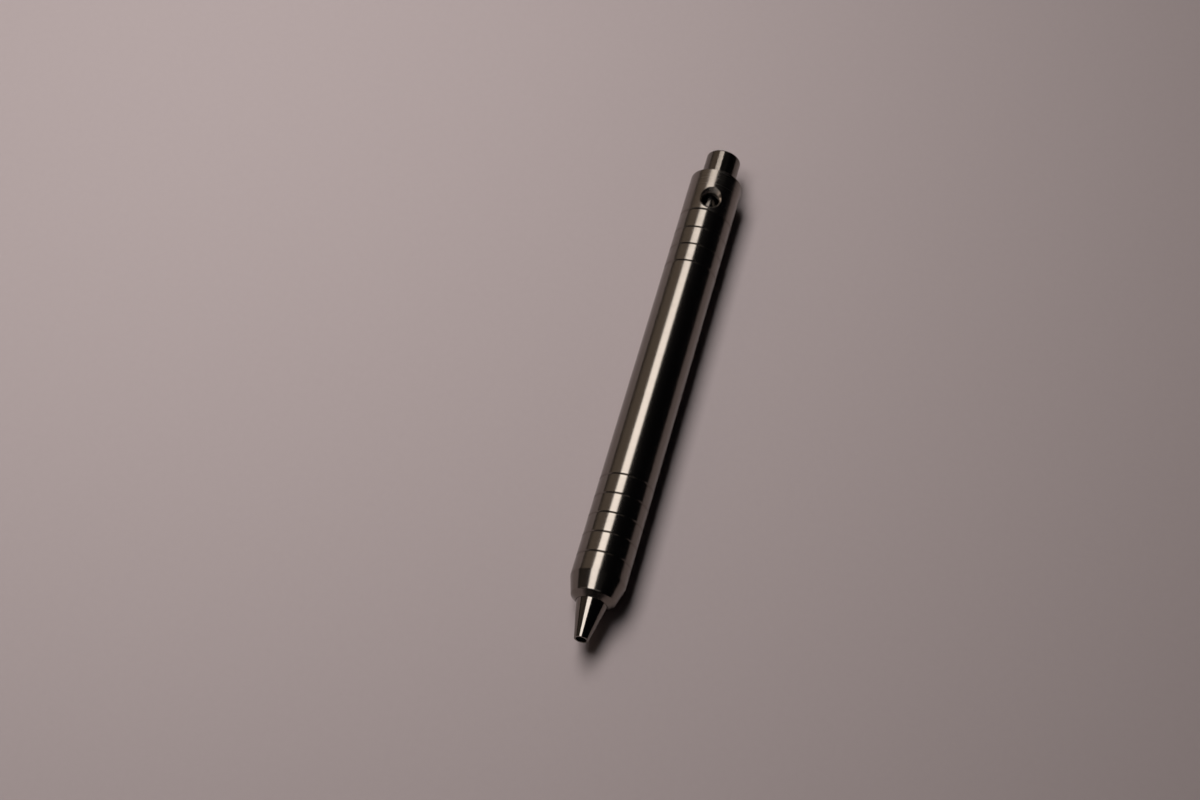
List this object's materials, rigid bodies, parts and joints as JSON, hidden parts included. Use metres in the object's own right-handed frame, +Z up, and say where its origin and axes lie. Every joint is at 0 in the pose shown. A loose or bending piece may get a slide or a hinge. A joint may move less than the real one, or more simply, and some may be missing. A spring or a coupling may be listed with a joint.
{
  "type": "retractable pen",
  "caption": "Turned metal retractable pen with a grooved grip, a polished nose tip, a rear push button and a sprung latch that a round side hole releases.",
  "frame": {"origin": "on the table under the middle of the pen, which lies on its side with the release hole on top", "axes": "+X along the pen towards the push button, the nose at -X; +Z up"},
  "size_m": [0.134, 0.0126, 0.0126],
  "materials": {
    "turned_steel": "satin, fine turning lines round the barrel",
    "polished_steel": "polished",
    "cap_steel": "as turned, coarser lines than the barrel",
    "ring_rubber": "matte black",
    "pin_steel": "ground",
    "plunger_steel": "satin, as turned",
    "clip_steel": "dark spring steel",
    "latch_steel": "satin",
    "latch_wire": "drawn spring wire",
    "spring_wire": "drawn spring wire",
    "ball_carbide": "polished carbide",
    "point_nickel": "nickel silver, as turned",
    "neck_brass": "as turned",
    "tube_metal": "drawn tube",
    "ink_black": "black ink",
    "plug_plastic": "moulded"
  },
  "bodies": {
    "body": {"barrel": "turned_steel", "nose_tip": "polished_steel", "rear_cap": "cap_steel", "cap_o_ring": "ring_rubber", "guide_pin": "pin_steel", "return_spring": "spring_wire"},
    "plunger": {"plunger": "plunger_steel", "retaining_clip": "clip_steel", "latch_spring": "latch_wire"},
    "latch": {"latch_button": "latch_steel"},
    "refill": {"writing_ball": "ball_carbide", "refill_point": "point_nickel", "refill_neck": "neck_brass", "refill_tube": "tube_metal", "ink_column": "ink_black", "refill_plug": "plug_plastic"}
  },
  "joints": [
    {"name": "plunger_slide", "type": "slide", "parent": "body", "child": "plunger", "axis": [-1, 0, 0], "range_m": [0, 0.005], "stiffness_N_per_m": 250, "springref_m": -0.008},
    {"name": "refill_slide", "type": "slide", "parent": "body", "child": "refill", "axis": [-1, 0, 0], "range_m": [0, 0.005], "deforming": ["return_spring"]},
    {"name": "latch_slide", "type": "slide", "parent": "plunger", "child": "latch", "axis": [0, 0, -1], "range_m": [0, 0.0006], "stiffness_N_per_m": 300, "springref_m": -0.003, "deforming": ["latch_spring"]}
  ],
  "couplings": [
    {"joint": "refill_slide", "follows": "plunger_slide", "ratio": 1}
  ]
}
